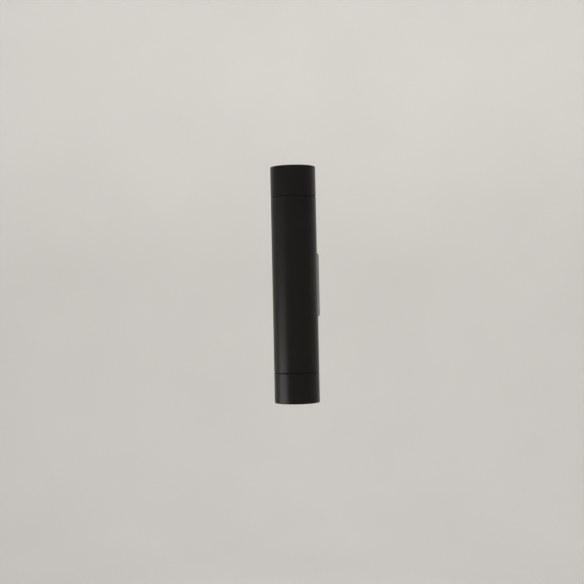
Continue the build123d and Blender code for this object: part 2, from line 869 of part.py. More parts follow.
with BuildPart() as earth_screw:
    with BuildSketch(Plane.XZ.offset(plate_clear)):
        with Locations(earth_place):
            Circle(earth_radius)
    extrude(amount=lug_face - plate_clear)
    with BuildSketch(Plane.XZ.offset(lug_face)):
        with Locations(earth_place):
            Circle(earth_head)
    extrude(amount=earth_head_height)
write(earth_screw, "earth_screw")

# Wires: each leaves its contact, turns through the bush and comes down into its pole
live_pole, neutral_pole, earth_pole = pole_places


def lamp_wire_points(side, pin_side, pole_x):
    # side is +1 for the upper lamp and -1 for the lower, pin_side the sign of x at the lamp
    return [
        (pin_side * pin_spacing / 2, -axis_to_wall, side * pocket_bottom),
        (pin_side * pin_spacing / 2, -axis_to_wall, side * wire_turn_height),
        (pin_side * wire_bundle, -wire_turn_depth, side * wire_bundle),
        (pin_side * wire_bundle, -box_turn_depth, side * wire_bundle),
        (pole_x, -pole_depth, side * wire_drop_height),
        (pole_x, -pole_depth, terminal_top),
    ]


def make_wires(routes):
    with BuildPart() as wires:
        for route in routes:
            with BuildLine() as path:
                FilletPolyline(*route, radius=wire_bend)
            with BuildSketch(Plane(origin=path.line @ 0, z_dir=path.line % 0)):
                Circle(wire_radius)
            sweep(path=path.line)
    return wires


upper_routes = [
    lamp_wire_points(1, -1, live_pole - wire_pair_offset),
    lamp_wire_points(1, 1, neutral_pole + wire_pair_offset),
]
lower_routes = [
    lamp_wire_points(-1, -1, live_pole + wire_pair_offset),
    lamp_wire_points(-1, 1, neutral_pole - wire_pair_offset),
]
barrel_end = barrel_top - barrel_length
earth_turn = barrel_end - earth_wire_tail
earth_route = [
    (earth_pole, -pole_depth, terminal_top),
    (earth_pole, -pole_depth, earth_turn - earth_wire_slant),
    (earth_x, -barrel_depth, earth_turn),
    (earth_x, -barrel_depth, barrel_end),
]
write(make_wires(upper_routes), "upper_lamp_wires")
write(make_wires(lower_routes), "lower_lamp_wires")
write(make_wires([earth_route]), "earth_wire")

# Crimped ends of the wires inside the sleeves
ferrule_places = [route[-1][0] for route in upper_routes + lower_routes] + [earth_pole]
with BuildPart() as wire_ferrules:
    with BuildSketch(Plane.XY.offset(terminal_top)):
        with Locations(*[(place, -pole_depth) for place in ferrule_places]):
            Circle(ferrule_radius)
    extrude(amount=-ferrule_length)
write(wire_ferrules, "wire_ferrules")
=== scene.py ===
import bpy
import bmesh
import json
import math
from mathutils import Matrix, Vector


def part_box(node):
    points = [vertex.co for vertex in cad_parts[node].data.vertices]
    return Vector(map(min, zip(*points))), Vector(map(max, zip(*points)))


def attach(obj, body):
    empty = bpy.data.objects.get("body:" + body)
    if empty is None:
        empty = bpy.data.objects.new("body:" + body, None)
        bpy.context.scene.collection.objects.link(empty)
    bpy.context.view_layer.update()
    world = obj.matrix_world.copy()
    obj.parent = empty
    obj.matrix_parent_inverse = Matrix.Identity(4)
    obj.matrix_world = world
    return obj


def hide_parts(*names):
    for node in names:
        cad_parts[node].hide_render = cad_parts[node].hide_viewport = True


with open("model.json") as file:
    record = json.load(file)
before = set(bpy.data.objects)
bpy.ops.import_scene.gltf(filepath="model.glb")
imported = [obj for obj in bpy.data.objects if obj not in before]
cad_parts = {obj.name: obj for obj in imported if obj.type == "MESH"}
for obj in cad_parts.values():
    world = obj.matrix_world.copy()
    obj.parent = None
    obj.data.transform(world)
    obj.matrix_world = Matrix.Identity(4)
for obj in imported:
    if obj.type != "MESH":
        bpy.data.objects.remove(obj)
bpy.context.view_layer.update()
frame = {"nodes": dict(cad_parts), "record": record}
cadNodes = frame["nodes"]
axisY = sum(corner.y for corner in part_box("upper_end_ring")) / 2
endPlace = {  # carries a shape made for the upper end to either end of the tube
    "upper": Matrix.Translation((0, axisY, 0)),
    "lower": Matrix.Translation((0, axisY, 0)) @ Matrix.Rotation(math.pi, 4, "Y"),
}


def upperEnd(piece):  # radius, foot and top of a round piece of the upper end
    low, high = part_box("upper_" + piece)
    return high.x, low.z, high.z


ringRadius, ringFoot, ringTop = upperEnd("end_ring")
sealFoot, sealTop = upperEnd("joint_seal")[1:]
print("frame loaded:", len(cadNodes), "nodes")


class Signal:  # one shader socket, so that sums of values are written as Python
    def __init__(self, tree, socket=None):
        self.tree = tree
        self.socket = socket

    def node(self, kind, settings=None, inputs=None, out=0):
        made = self.tree.nodes.new(kind)
        for key, value in (settings or {}).items():
            setattr(made, key, value)
        for key, value in (inputs or {}).items():
            if isinstance(value, Signal):
                self.tree.links.new(value.socket, made.inputs[key])
            else:
                made.inputs[key].default_value = value
        return Signal(self.tree, made.outputs[out])

    def calc(self, operation, first, second=0.0):
        return self.node("ShaderNodeMath", {"operation": operation}, {0: first, 1: second})

    def __add__(self, other):
        return self.calc("ADD", self, other)

    def __radd__(self, other):
        return self.calc("ADD", other, self)

    def __sub__(self, other):
        return self.calc("SUBTRACT", self, other)

    def __rsub__(self, other):
        return self.calc("SUBTRACT", other, self)

    def __mul__(self, other):
        return self.calc("MULTIPLY", self, other)

    def __rmul__(self, other):
        return self.calc("MULTIPLY", other, self)

    def __gt__(self, other):
        return self.calc("GREATER_THAN", self, other)

    def __lt__(self, other):
        return self.calc("LESS_THAN", self, other)

    def __abs__(self):
        return self.calc("ABSOLUTE", self)

    def noise(self, size, detail=2.0):  # patches of about this size in metres
        inputs = {"Vector": self, "Scale": 1 / size, "Detail": detail}
        return self.node("ShaderNodeTexNoise", {}, inputs)

    def stretch(self, x, y, z):
        return self.node("ShaderNodeVectorMath", {"operation": "MULTIPLY"}, {0: self, 1: (x, y, z)})

    def part(self, letter):
        return self.node("ShaderNodeSeparateXYZ", {}, {0: self}, out=letter)

    def soft(self, low, high):  # 0 below low, 1 above high
        settings = {"interpolation_type": "SMOOTHSTEP"}
        return self.node("ShaderNodeMapRange", settings, {"Value": self, "From Min": low, "From Max": high})

    def wave(self):  # one rise and fall between 0 and 1 for each whole step of the value
        return self.calc("SINE", self * (2 * math.pi)) * 0.5 + 0.5

    def tint(self, low, high):  # a colour between two by this value
        return self.node("ShaderNodeMix", {"data_type": "RGBA"}, {0: self, 6: low, 7: high}, out=2)

    def feed(self, socket):
        self.tree.links.new(self.socket, socket)

    def bump(self, shader, depth):  # depth in metres between height 0 and 1
        inputs = {"Height": self, "Distance": depth, "Strength": 1.0}
        self.node("ShaderNodeBump", {}, inputs, out="Normal").feed(shader.inputs["Normal"])


def startMaterial(name, **fixed):
    material = bpy.data.materials.new(name)
    material.use_nodes = True
    shader = material.node_tree.nodes["Principled BSDF"]
    for socket, value in fixed.items():
        shader.inputs[socket.replace("_", " ")].default_value = value
    place = Signal(material.node_tree).node("ShaderNodeTexCoord", out="Object")
    return material, shader, place


blackCoat = {
    "deep": (0.0056, 0.0054, 0.0051, 1), "light": (0.0112, 0.0108, 0.0102, 1),
    "rubbed": (0.022, 0.021, 0.0195, 1), "gloss": 0.30,
    "rough": 0.33, "cloudRough": 0.14, "grainRough": 0.16, "rubbedSmooth": 0.08,
    "cloud": 0.05, "grain": 0.0005, "grainShare": 0.5, "grainDepth": 0.000034,
    "peel": 0.0024, "peelDepth": 0.000060,
    "rimEdge": 0.0007, "seamEdge": (0.0006, 0.0010), "patch": 0.009, "patchEdge": (0.42, 0.66), "wear": 0.40,
}


def makeBlackCoat():
    look = blackCoat
    material, shader, place = startMaterial("satinBlackCoat", Specular_IOR_Level=look["gloss"])
    cloud = place.noise(look["cloud"], detail=3)
    grain = place.noise(look["grain"])
    height = abs(place.part("Z"))
    rim = height.soft(ringTop - look["rimEdge"], ringTop)
    offSeam = abs(height - (sealFoot + sealTop) / 2).soft(*look["seamEdge"])
    handled = rim + (1 - offSeam)  # these edges are rubbed a little
    worn = handled * place.noise(look["patch"], detail=3).soft(*look["patchEdge"]) * look["wear"]
    coat = (cloud * (1 - look["grainShare"]) + grain * look["grainShare"]).tint(look["deep"], look["light"])
    worn.tint(coat, look["rubbed"]).feed(shader.inputs["Base Color"])
    rough = look["rough"] + (cloud - 0.5) * look["cloudRough"] + (grain - 0.5) * look["grainRough"]
    (rough - worn * look["rubbedSmooth"]).feed(shader.inputs["Roughness"])
    depth = look["peelDepth"] + look["grainDepth"]
    peel = place.noise(look["peel"], detail=1)
    (peel * (look["peelDepth"] / depth) + grain * (look["grainDepth"] / depth)).bump(shader, depth)
    return material


platedSteel = {  # a scratch is measured in rolls, a stain in spangles
    "grey": (0.53, 0.54, 0.55, 1), "bright": (0.66, 0.665, 0.66, 1), "straw": (0.62, 0.58, 0.47, 1),
    "spangle": 0.006, "spangleEdge": (0.25, 0.75), "spangleShare": 0.6, "roll": 0.0009, "rollLong": 0.06,
    "scratch": 1.5, "scratchLong": 0.04, "scratchEdge": (0.68, 0.74),
    "stain": 4, "stainEdge": (0.52, 0.75), "stainShare": 0.45,
    "rough": 0.30, "spangleRough": 0.09, "rollRough": 0.12, "scratchRough": 0.15,
    "depth": 0.000012, "rollDeep": 0.5, "spangleDeep": 0.3, "scratchDeep": 0.5,
}


def makePlatedSteel(name, look):
    material, shader, place = startMaterial(name, Metallic=1.0)
    spangle = place.noise(look["spangle"], detail=4).soft(*look["spangleEdge"])
    roll = place.stretch(look["rollLong"], 1, 1).noise(look["roll"])
    scratch = place.stretch(1, 1, look["scratchLong"]).noise(look["roll"] * look["scratch"], detail=1)
    scratch = scratch.soft(*look["scratchEdge"])
    stain = place.noise(look["spangle"] * look["stain"]).soft(*look["stainEdge"]) * look["stainShare"]
    plain = spangle * look["spangleShare"] + roll * (1 - look["spangleShare"])
    stain.tint(plain.tint(look["grey"], look["bright"]), look["straw"]).feed(shader.inputs["Base Color"])
    rough = look["rough"] + (spangle - 0.5) * look["spangleRough"] + (roll - 0.5) * look["rollRough"]
    (rough + scratch * look["scratchRough"]).feed(shader.inputs["Roughness"])
    relief = roll * look["rollDeep"] + spangle * look["spangleDeep"] - scratch * look["scratchDeep"]
    relief.bump(shader, look["depth"])
    return material


brightScrew = dict(platedSteel, spangle=0.0012, roll=0.0003, rough=0.24, depth=0.000006)
springSteel = dict(
    platedSteel, grey=(0.085, 0.085, 0.09, 1), bright=(0.19, 0.185, 0.18, 1), straw=(0.13, 0.105, 0.08, 1),
    spangle=0.002, roll=0.0003, rough=0.30, depth=0.000006,
)
tinnedMetal = dict(
    platedSteel, grey=(0.62, 0.61, 0.585, 1), bright=(0.76, 0.75, 0.72, 1), straw=(0.70, 0.66, 0.56, 1),
    spangle=0.0010, roll=0.0002, rough=0.18, depth=0.000004,
)
plainBrass = dict(
    platedSteel, grey=(0.58, 0.40, 0.14, 1), bright=(0.76, 0.56, 0.24, 1), straw=(0.50, 0.33, 0.13, 1),
    spangle=0.0016, roll=0.0003, rough=0.22, depth=0.000005,
)
blackScrew = dict(
    platedSteel, grey=(0.016, 0.016, 0.016, 1), bright=(0.035, 0.034, 0.032, 1), straw=(0.05, 0.045, 0.04, 1),
    spangle=0.0010, roll=0.0003, rough=0.32, depth=0.000005,
)
lampShell = dict(
    platedSteel, grey=(0.60, 0.60, 0.59, 1), bright=(0.74, 0.74, 0.725, 1), straw=(0.66, 0.65, 0.62, 1),
    spangle=0.0014, roll=0.0005, rough=0.36, spangleRough=0.06, depth=0.000010,
)

moulded = {  # flow and flecks are measured in grains
    "flow": 14, "grainShare": 0.45, "fleck": 2.5, "fleckEdge": (0.70, 0.76), "fleckShare": 0.5,
    "grainRough": 0.16, "flowRough": 0.10, "gloss": 0.5,
}


def makeMoulded(name, look):
    material, shader, place = startMaterial(name, Specular_IOR_Level=look["gloss"])
    grain = place.noise(look["grain"], detail=3)
    flow = place.noise(look["grain"] * look["flow"])
    flecks = place.noise(look["grain"] * look["fleck"], detail=0)
    flecks = flecks.soft(*look["fleckEdge"])  # small and darker
    mix = grain * look["grainShare"] + flow * (1 - look["grainShare"])
    shade = mix.tint(look["deep"], look["light"])
    (flecks * look["fleckShare"]).tint(shade, look["deep"]).feed(shader.inputs["Base Color"])
    rough = look["rough"] + (grain - 0.5) * look["grainRough"] + (flow - 0.5) * look["flowRough"]
    rough.feed(shader.inputs["Roughness"])
    grain.bump(shader, look["depth"])
    return material


# black rubber in part and painted shade in part: coloured darker than plain black rubber, so the recessed
# seams between tube and rings read darker
blackRubberSeamShade = dict(
    moulded, deep=(0.0036, 0.0036, 0.0035, 1), light=(0.0100, 0.0098, 0.0094, 1),
    rough=0.68, gloss=0.1, grain=0.0007, depth=0.000022,
)
sealSilicone = dict(
    moulded, deep=(0.36, 0.36, 0.35, 1), light=(0.52, 0.52, 0.50, 1),
    rough=0.48, grain=0.0006, depth=0.000008,
)
lampPlastic = dict(
    moulded, deep=(0.74, 0.73, 0.69, 1), light=(0.86, 0.85, 0.82, 1),
    rough=0.38, grain=0.0009, depth=0.000012,
)
holderCeramic = dict(
    moulded, deep=(0.68, 0.65, 0.58, 1), light=(0.84, 0.82, 0.77, 1),
    rough=0.68, grain=0.0005, depth=0.000030,
)
terminalPlastic = dict(
    moulded, deep=(0.70, 0.68, 0.62, 1), light=(0.83, 0.82, 0.78, 1),
    rough=0.36, grain=0.0011, depth=0.000010,
)

coverGlass = {
    "clear": (0.965, 0.985, 0.975, 1), "smeared": (0.93, 0.965, 0.95, 1), "rough": 0.015, "bend": 1.5,
    "smear": 0.011, "smearEdge": (0.45, 0.75), "smearRough": 0.035, "ripple": 0.02, "rippleDepth": 0.000004,
}


def makeCoverGlass():
    look = coverGlass
    material, shader, place = startMaterial("clearCoverGlass", Transmission_Weight=1.0, IOR=look["bend"])
    smear = place.noise(look["smear"], detail=3).soft(*look["smearEdge"])
    smear.tint(look["clear"], look["smeared"]).feed(shader.inputs["Base Color"])
    (look["rough"] + smear * look["smearRough"]).feed(shader.inputs["Roughness"])
    place.noise(look["ripple"], detail=1).bump(shader, look["rippleDepth"])
    return material


litLens = {
    "glowEdge": (0.34, 0.18, 0.06, 1), "glowCore": (1.0, 0.86, 0.62, 1), "strength": 0.95, "glowShare": 0.86,
    "clear": (0.90, 0.86, 0.78, 1), "dull": (0.80, 0.74, 0.62, 1), "rough": 0.16,
    "pillow": 0.0011, "pillowShare": 0.28, "pillowLevel": 0.6, "pillowDepth": 0.00012,
}


def makeLitLens():
    look = litLens
    fixed = {"Emission_Strength": look["strength"], "Roughness": look["rough"]}
    material, shader, place = startMaterial("litLens", **fixed)
    glow = place.node("ShaderNodeAttribute", {"attribute_name": "glow"}, out="Fac")
    pillow = place.node("ShaderNodeTexVoronoi", {}, {"Vector": place, "Scale": 1 / look["pillow"]})
    lit = glow * look["glowShare"] + (look["pillowLevel"] - pillow) * look["pillowShare"]
    lit.tint(look["glowEdge"], look["glowCore"]).feed(shader.inputs["Emission Color"])
    pillow.tint(look["clear"], look["dull"]).feed(shader.inputs["Base Color"])
    (1 - pillow).bump(shader, look["pillowDepth"])
    return material


lampBoard = {
    "maskDeep": (0.70, 0.70, 0.66, 1), "mask": (0.80, 0.80, 0.76, 1), "chip": (0.85, 0.60, 0.12, 1),
    "chipHigh": 0.00055, "weave": 0.0006, "weaveDepth": 0.00001,
    "rough": 0.5, "chipSmooth": 0.2, "weaveRough": 0.1,
}


def makeLampBoard():
    look = lampBoard
    material, shader, place = startMaterial("lampBoard")
    boardTop = upperEnd("lamp_board")[2]
    raised = abs(place.part("Z")) > boardTop - look["chipHigh"]  # the chips stand on the board
    weave = place.noise(look["weave"])
    raised.tint(weave.tint(look["maskDeep"], look["mask"]), look["chip"]).feed(shader.inputs["Base Color"])
    rough = look["rough"] - raised * look["chipSmooth"] + (weave - 0.5) * look["weaveRough"]
    rough.feed(shader.inputs["Roughness"])
    weave.bump(shader, look["weaveDepth"])
    return material


leadSleeve = {
    "deep": (0.46, 0.43, 0.36, 1), "light": (0.74, 0.72, 0.66, 1), "rough": 0.72,
    "strands": 8, "braidStep": 0.9, "braidShare": 0.8, "braidDepth": 0.00009, "fuzz": 0.0004,
}


def makeLeadSleeve():
    look = leadSleeve
    material, shader, place = startMaterial("wovenLeadSleeve", Roughness=look["rough"])
    run = place.node("ShaderNodeUVMap")  # once round the wire across, girths along it up
    around = run.part("X") * look["strands"]
    along = run.part("Y") * look["braidStep"]
    over = place.calc("MAXIMUM", (around + along).wave(), (around - along).wave())
    # painted shade: each strand is coloured lighter on its crown and darker at its sides, where it dips under
    # the next strand
    shade = over * look["braidShare"] + place.noise(look["fuzz"]) * (1 - look["braidShare"])
    shade.tint(look["deep"], look["light"]).feed(shader.inputs["Base Color"])
    over.bump(shader, look["braidDepth"])
    return material


earthSleeve = {
    "green": (0.055, 0.26, 0.045, 1), "yellow": (0.72, 0.62, 0.05, 1), "stripeEdge": (0.56, 0.60),
    "skin": 0.0006, "skinDepth": 0.000012, "rough": 0.36, "skinRough": 0.16,
}


def makeEarthSleeve():
    look = earthSleeve
    material, shader, place = startMaterial("earthSleeve")
    stripe = place.node("ShaderNodeUVMap").part("X").wave().soft(*look["stripeEdge"])
    skin = place.noise(look["skin"])
    stripe.tint(look["green"], look["yellow"]).feed(shader.inputs["Base Color"])
    (look["rough"] + skin * look["skinRough"]).feed(shader.inputs["Roughness"])
    skin.bump(shader, look["skinDepth"])
    return material


finishes = {  # by the record's slots
    "black_coat": makeBlackCoat(),
    "plated_steel": makePlatedSteel("platedSteel", platedSteel),
    "bright_screw": makePlatedSteel("brightScrew", brightScrew),
    "black_screw": makePlatedSteel("blackScrew", blackScrew),
    "spring_steel": makePlatedSteel("springSteel", springSteel),
    "tinned_metal": makePlatedSteel("tinnedMetal", tinnedMetal),
    "brass": makePlatedSteel("plainBrass", plainBrass),
    "lamp_shell": makePlatedSteel("lampShell", lampShell),
    "black_rubber": makeMoulded("blackRubberSeamShade", blackRubberSeamShade),
    "seal_silicone": makeMoulded("sealSilicone", sealSilicone),
    "lamp_plastic": makeMoulded("lampPlastic", lampPlastic),
    "holder_ceramic": makeMoulded("holderCeramic", holderCeramic),
    "terminal_plastic": makeMoulded("terminalPlastic", terminalPlastic),
    "clear_glass": makeCoverGlass(),
    "lamp_lens": makeLitLens(),
    "lamp_board": makeLampBoard(),
    "lead_sleeve": makeLeadSleeve(),
    "earth_sleeve": makeEarthSleeve(),
}
for row in frame["record"]["subparts"]:  # each CAD node gets the finish of its slot
    skin = cadNodes[row["node"]].data
    skin.materials.clear()
    skin.materials.append(finishes[row["material_slot"]])
print("finishes made:", len(finishes))

sharpAngle = 32  # degrees, above which an edge stays sharp
sliver = 0.000002  # metres, below which faces left by a cut are closed up


def smoothShape(mesh):
    for face in mesh.polygons:
        face.use_smooth = True
    mesh.set_sharp_from_angle(angle=math.radians(sharpAngle))
    return mesh


def meshOf(name, shape):
    bmesh.ops.recalc_face_normals(shape, faces=shape.faces[:])
    mesh = bpy.data.meshes.new(name)
    shape.to_mesh(mesh)
    shape.free()
    return smoothShape(mesh)


def addPiece(name, mesh, slotName, body, node):  # the piece stands for one CAD node
    mesh.materials.clear()
    mesh.materials.append(finishes[slotName])
    piece = bpy.data.objects.new(name, mesh)
    bpy.context.scene.collection.objects.link(piece)
    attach(piece, body)
    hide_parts(node)


def spin(shape, profile, steps, closed=False, where=Matrix()):  # a radius may be a function of the angle
    rings = []
    for radius, height in profile:
        ring = []
        for step in range(steps):
            angle = 2 * math.pi * step / steps
            reach = radius(angle) if callable(radius) else radius
            spot = Vector((reach * math.cos(angle), reach * math.sin(angle), height))
            ring.append(shape.verts.new(where @ spot))
        rings.append(ring)
    onward = rings[1:] + rings[:1] if closed else rings[1:]
    for low, high in zip(rings, onward):
        for step in range(steps):
            after = (step + 1) % steps
            shape.faces.new((low[step], low[after], high[after], high[step]))
    if not closed:
        shape.faces.new(rings[0][::-1])
        shape.faces.new(rings[-1])
    return rings


def arc(centreX, centreZ, radius, start, stop, steps):  # profile points, angles in degrees
    points = []
    for step in range(steps + 1):
        angle = math.radians(start + (stop - start) * step / steps)
        points.append((centreX + radius * math.cos(angle), centreZ + radius * math.sin(angle)))
    return points


thread = {  # shares of the pitch that are flat at crest and root, and of the depth at the first row
    "flat": 1 / 6, "start": 0.15,
}


def threadRadius(crest, depth, pitch, height):  # right-hand thread
    def radiusAt(angle):
        turn = (height / pitch - angle / (2 * math.pi)) % 1
        down = (abs(2 * turn - 1) - thread["flat"]) / (1 - 2 * thread["flat"])
        return crest - depth * min(1, max(0, down))
    return radiusAt


def threadRows(low, high, crest, depth, pitch, perPitch):
    count = max(2, round((high - low) / pitch * perPitch))
    rows = []
    for step in range(count + 1):
        height = low + (high - low) * step / count
        fade = min(1, (height - low) / pitch + thread["start"], (high - height) / pitch)
        rows.append((threadRadius(crest, depth * max(0, fade), pitch, height), height))
    return rows


def combine(first, second, operation):  # joins the second mesh to the first, or cuts it out
    holder = [bpy.data.objects.new("firstShape", first), bpy.data.objects.new("secondShape", second)]
    for thing in holder:
        bpy.context.scene.collection.objects.link(thing)
    change = holder[0].modifiers.new("combine", "BOOLEAN")
    change.operation = operation
    change.solver = "EXACT"
    change.use_self = True
    change.object = holder[1]
    done = bpy.data.meshes.new_from_object(holder[0].evaluated_get(bpy.context.evaluated_depsgraph_get()))
    for thing in holder:
        bpy.data.objects.remove(thing)
    cleaned = bmesh.new()
    cleaned.from_mesh(done)
    bmesh.ops.remove_doubles(cleaned, verts=cleaned.verts[:], dist=sliver)
    bmesh.ops.dissolve_degenerate(cleaned, edges=cleaned.edges[:], dist=sliver)
    cleaned.to_mesh(done)
    cleaned.free()
    return done


endRing = {
    "glassGap": 0.0003, "lipOverlap": 0.0017, "spigotWall": 0.00135, "grooveDepth": 0.0009,
    "clipGap": 0.00005, "edgeBreak": 0.0002, "steps": 160,
    "rimRound": 0.001, "rimSteps": 10, "mouthBreak": 0.0005, "mouthSteps": 5,
    "pitch": 0.0015, "threadDepth": 0.00055, "perPitch": 8,
    "threadAboveFoot": 0.0006, "threadBelowSeat": 0.0014,
}


def makeEndRing(end):
    size = endRing
    bore = upperEnd("cover_glass")[0] + size["glassGap"]
    mouth = bore - size["lipOverlap"]
    spigot = bore + size["spigotWall"]
    groove = bore + size["grooveDepth"]
    lip = upperEnd("glass_seal")[2]
    clipFoot, clipTop = upperEnd("circlip")[1:]
    grooveFoot, grooveTop = clipFoot - size["clipGap"], clipTop + size["clipGap"]
    threadLow, threadHigh = ringFoot + size["threadAboveFoot"], sealTop - size["threadBelowSeat"]
    edge, rimRound, mouthBreak = size["edgeBreak"], size["rimRound"], size["mouthBreak"]
    profile = [(bore, ringFoot), (spigot - edge, ringFoot), (spigot, ringFoot + edge)]
    profile += threadRows(threadLow, threadHigh, spigot, size["threadDepth"], size["pitch"], size["perPitch"])
    profile += [(spigot, sealTop), (ringRadius - edge, sealTop), (ringRadius, sealTop + edge)]
    profile += arc(ringRadius - rimRound, ringTop - rimRound, rimRound, 0, 90, size["rimSteps"])
    profile += arc(mouth + mouthBreak, ringTop - mouthBreak, mouthBreak, 90, 180, size["mouthSteps"])
    profile += [(mouth, lip), (bore, lip), (bore, grooveTop), (groove, grooveTop)]
    profile += [(groove, grooveFoot), (bore, grooveFoot)]
    shape = bmesh.new()
    spin(shape, profile, size["steps"], closed=True, where=endPlace[end])
    mesh = meshOf(f"{end}RingTurned", shape)
    addPiece(f"{end}_ring_turned", mesh, "black_coat", f"{end}_ring", f"{end}_end_ring")


for endName in endPlace:
    makeEndRing(endName)
print("end rings turned")

lens = {
    "plate": 0.0028, "edgeRound": 0.0003, "edgeSteps": 4, "middle": 0.0002, "rings": 84, "steps": 192,
    "circle": 0.0138, "count": 6, "dish": 0.0056, "dishDepth": 0.0004,
    "coneWide": 0.0062, "coneNarrow": 0.003, "coneTip": 0.0018, "coneSunk": 0.0006, "coneSteps": 36,
    "glowPlate": 0.17, "glowDish": 0.32, "glowRing": 0.05, "ringWide": 0.0005, "spread": 0.0034,
}


def makeLens(end):
    size = lens
    radius, coneEnd, top = upperEnd("lamp_lens")
    back = top - size["plate"]
    centres = [(0.0, 0.0)]
    for step in range(size["count"]):
        angle = 2 * math.pi * step / size["count"]
        centres.append((size["circle"] * math.cos(angle), size["circle"] * math.sin(angle)))

    def near(spot):  # distance to the nearest lenslet's middle
        return min(math.hypot(spot.x - x, spot.y - y) for x, y in centres)

    plate = bmesh.new()
    reach, shoulder = radius - size["edgeRound"], top - size["edgeRound"]
    profile = [(reach * (ring + 0.5) / size["rings"], top) for ring in range(size["rings"])]
    profile += arc(reach, shoulder, size["edgeRound"], 90, 0, size["edgeSteps"])
    profile += [(radius, back), (size["middle"], back)]
    spin(plate, profile, size["steps"])
    for vert in plate.verts:
        if vert.co.z > shoulder and near(vert.co) < size["dish"]:
            vert.co.z -= size["dishDepth"] * (1 - (near(vert.co) / size["dish"]) ** 2)
    cones = bmesh.new()  # they gather the light of each chip
    profile = [(size["coneTip"], coneEnd), (size["coneNarrow"], coneEnd)]
    profile += [(size["coneWide"], back), (size["coneWide"], back + size["coneSunk"])]
    for x, y in centres:
        spin(cones, profile, size["coneSteps"], where=Matrix.Translation((x, y, 0)))
    mesh = combine(meshOf("lensPlate", plate), meshOf("lensCones", cones), "UNION")
    glow = mesh.attributes.new("glow", "FLOAT", "POINT")
    for vert, level in zip(mesh.vertices, glow.data):
        away = near(vert.co)
        level.value = size["glowPlate"]
        if away < size["dish"] + size["ringWide"]:  # a dim ring round each lenslet
            level.value = size["glowRing"]
        if away < size["dish"]:
            level.value = size["glowDish"] + (1 - size["glowDish"]) * math.exp(-(away / size["spread"]) ** 2)
    mesh.transform(endPlace[end])
    addPiece(f"{end}_lens_moulded", smoothShape(mesh), "lamp_lens", f"{end}_lamp", f"{end}_lamp_lens")


for endName in endPlace:
    makeLens(endName)
print("lenses moulded")

screws = {  # in metres, seat at height 0, the head stands above it or is sunk below
    "pan4": {
        "head": 0.004, "high": 0.0026, "shank": 0.002, "long": 0.01114, "pitch": 0.0007, "recess": "cross"},
    "pan3": {
        "head": 0.0027, "high": 0.002, "shank": 0.0015, "long": 0.0221, "pitch": 0.0005, "recess": "cross"},
    "fixing": {
        "head": 0.0023, "high": 0.0016, "shank": 0.00125, "long": 0.0119, "pitch": 0.0006, "recess": "cross"},
    "earth": {
        "head": 0.0038, "high": 0.0024, "shank": 0.002, "long": 0.0021, "pitch": 0.0007, "recess": "cross"},
    "clamp": {
        "head": 0.0016, "high": 0.002, "shank": 0.0013, "long": 0.0027, "pitch": 0.0005, "recess": "slot"},
    "sunk": {
        "head": 0.0029, "high": 0.0, "shank": 0.0015, "long": 0.007, "pitch": 0.0005, "recess": "hex"},
}
screwForm = {  # threadDepth is a share of the pitch, shoulder and recessDepth of the head's height
    "threadDepth": 0.55, "shoulder": 0.4, "recessDepth": 0.62, "sunkDepth": 0.0011,
    "tip": 0.0002, "neck": 0.00008, "dome": 78, "domeSteps": 6, "perPitch": 6, "steps": 24,
}
recesses = {  # reach is a share of the head's radius, across of the reach, taper of the width at the top
    "cross": {"reach": 0.62, "turns": (0, 90), "across": 0.42, "taper": 0.5},
    "slot": {"reach": 1.2, "turns": (0,), "across": 0.30, "taper": 1.0},
    "hex": {"reach": 0.42, "turns": ()},
}


def recessTool(kind, head, depth, top):
    form = recesses[kind]
    reach = form["reach"] * head
    tool = bmesh.new()
    if kind == "hex":
        bmesh.ops.create_cone(tool, cap_ends=True, segments=6, radius1=reach, radius2=reach, depth=2 * depth)
    for turn in form["turns"]:
        bar = Matrix.Diagonal((2 * reach, form["across"] * reach, 2 * depth, 1))
        bar = Matrix.Rotation(math.radians(turn), 4, "Z") @ bar
        for vert in bmesh.ops.create_cube(tool, size=1.0, matrix=bar)["verts"]:
            if vert.co.z < 0:
                vert.co.x *= form["taper"]
                vert.co.y *= form["taper"]
    tool.transform(Matrix.Translation((0, 0, top)))
    return meshOf("recessTool", tool)


def makeScrew(size):
    form, tip = screwForm, screwForm["tip"]
    head, high, shank = size["head"], size["high"], size["shank"]
    sunk = high == 0
    foot = shank - head if sunk else 0.0  # where the shank meets the head
    depth = form["threadDepth"] * size["pitch"]
    profile = [(shank - depth - tip, -size["long"])]
    threadLow, threadHigh = tip - size["long"], foot - form["neck"]
    profile += threadRows(threadLow, threadHigh, shank, depth, size["pitch"], form["perPitch"])
    profile.append((shank, foot))
    if sunk:
        profile += [(head - tip / 2, -tip / 2), (head - tip / 2, 0.0)]
    elif size["recess"] == "slot":
        profile += [(head, 0.0), (head, high - tip), (head - tip, high)]
    else:  # domed head
        shoulder = form["shoulder"] * high
        rise = (high - shoulder) / math.sin(math.radians(form["dome"]))
        profile.append((head, 0.0))
        for step in range(form["domeSteps"] + 1):
            angle = math.radians(form["dome"] * step / form["domeSteps"])
            profile.append((head * math.cos(angle), shoulder + rise * math.sin(angle)))
    shape = bmesh.new()
    spin(shape, profile, form["steps"])
    deep = form["sunkDepth"] if sunk else form["recessDepth"] * high
    return combine(meshOf("screwBlank", shape), recessTool(size["recess"], head, deep, high), "DIFFERENCE")


def gather(name, mesh, places):
    joined = bmesh.new()
    for place in places:
        before = len(joined.verts)
        joined.from_mesh(mesh)
        joined.verts.ensure_lookup_table()
        bmesh.ops.transform(joined, matrix=place, verts=joined.verts[before:])
    return meshOf(name, joined)


def at(x, y, z, facing):  # head faces up, down, to the wall or to the room
    turns = {
        "up": Matrix(), "down": Matrix.Rotation(math.pi, 4, "Y"),
        "wall": Matrix.Rotation(-math.pi / 2, 4, "X"), "room": Matrix.Rotation(math.pi / 2, 4, "X"),
    }
    return Matrix.Translation((x, y, z)) @ turns[facing]


